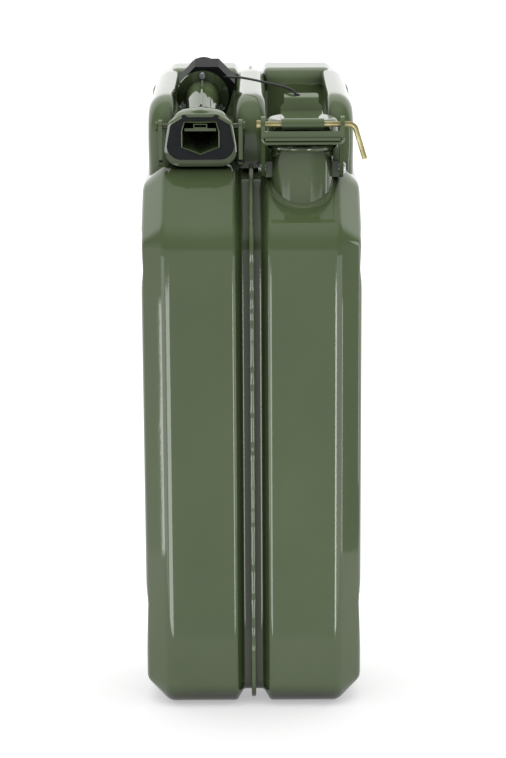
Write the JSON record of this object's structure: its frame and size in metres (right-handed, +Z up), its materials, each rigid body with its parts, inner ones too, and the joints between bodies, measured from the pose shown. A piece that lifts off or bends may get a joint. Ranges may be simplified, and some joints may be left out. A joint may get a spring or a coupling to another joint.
{
  "type": "safety gas can",
  "caption": "Steel fuel can with a pin-locked lever cap on a round neck, carrying bars, and a pouring spout with a spring sleeve tied on by a cord.",
  "frame": {"origin": "centre of the flat base, on the seam plane, at floor height", "axes": "+X to the right as seen from the narrow front with the cap, +Y from the front to the back, +Z up"},
  "size_m": [0.1715, 0.346, 0.4888],
  "materials": {
    "green_paint": "gloss",
    "black_rubber": "satin",
    "black_housing": "satin",
    "black_cord": "satin",
    "yellow_zinc": "satin",
    "bright_steel": "satin"
  },
  "bodies": {
    "can": {"left_shell": "green_paint", "right_shell": "green_paint", "seam_weld": "green_paint", "left_bar": "green_paint", "centre_bar": "green_paint", "right_bar": "green_paint", "filler_neck": "green_paint", "neck_weld": "green_paint", "air_pipe": "bright_steel", "neck_lugs": "green_paint", "trunnion_rivets": "bright_steel"},
    "bail": {"bail_frame": "green_paint", "bail_wire": "green_paint"},
    "cap": {"cap_lever": "green_paint", "cap_lid": "green_paint", "cap_gasket": "black_rubber", "cap_rivet": "green_paint"},
    "pin": {"lock_pin": "yellow_zinc"},
    "spout": {"spout_collar": "green_paint", "spout_gasket": "black_rubber", "spout_air_duct": "green_paint", "spout_tube": "green_paint", "spout_flange": "green_paint", "flange_screws": "bright_steel", "valve_housing": "black_housing", "outlet_pipe": "black_housing", "sleeve_spring": "bright_steel", "link_pins": "green_paint", "tie_cord": "black_cord"},
    "sleeve": {"outlet_sleeve": "black_housing"},
    "left_hook": {"left_link": "green_paint"},
    "right_hook": {"right_link": "green_paint"}
  },
  "joints": [
    {"name": "bail_swing", "type": "hinge", "parent": "can", "child": "bail", "pos_m": [0.039, -0.124, 0.419], "axis": [1, 0, 0], "range_deg": [-73, 0], "deforming": ["tie_cord"]},
    {"name": "cap_lift", "type": "hinge", "parent": "bail", "child": "cap", "pos_m": [0.039, -0.152, 0.4565], "axis": [1, 0, 0], "range_deg": [0, 145], "deforming": ["tie_cord"]},
    {"name": "pin_turn", "type": "hinge", "parent": "bail", "child": "pin", "pos_m": [0.039, -0.152, 0.4565], "axis": [1, 0, 0], "range_deg": [-100, 40]},
    {"name": "spout_lift", "type": "slide", "parent": "can", "child": "spout", "axis": [0, 0, 1], "range_m": [0, 0.06], "deforming": ["tie_cord"]},
    {"name": "sleeve_slide", "type": "slide", "parent": "spout", "child": "sleeve", "axis": [0, -0.9848, -0.1736], "range_m": [0, 0.008], "stiffness_N_per_m": 300, "springref_m": -0.01, "deforming": ["sleeve_spring"]},
    {"name": "left_link_swing", "type": "hinge", "parent": "spout", "child": "left_hook", "pos_m": [-0.0385, -0.1149, 0.45032], "axis": [1, 0, 0], "range_deg": [-80, 8]},
    {"name": "right_link_swing", "type": "hinge", "parent": "spout", "child": "right_hook", "pos_m": [-0.0385, -0.1149, 0.45032], "axis": [1, 0, 0], "range_deg": [-80, 8]}
  ],
  "couplings": [
    {"joint": "bail_swing", "follows": "cap_lift", "ratio": -0.5}
  ]
}
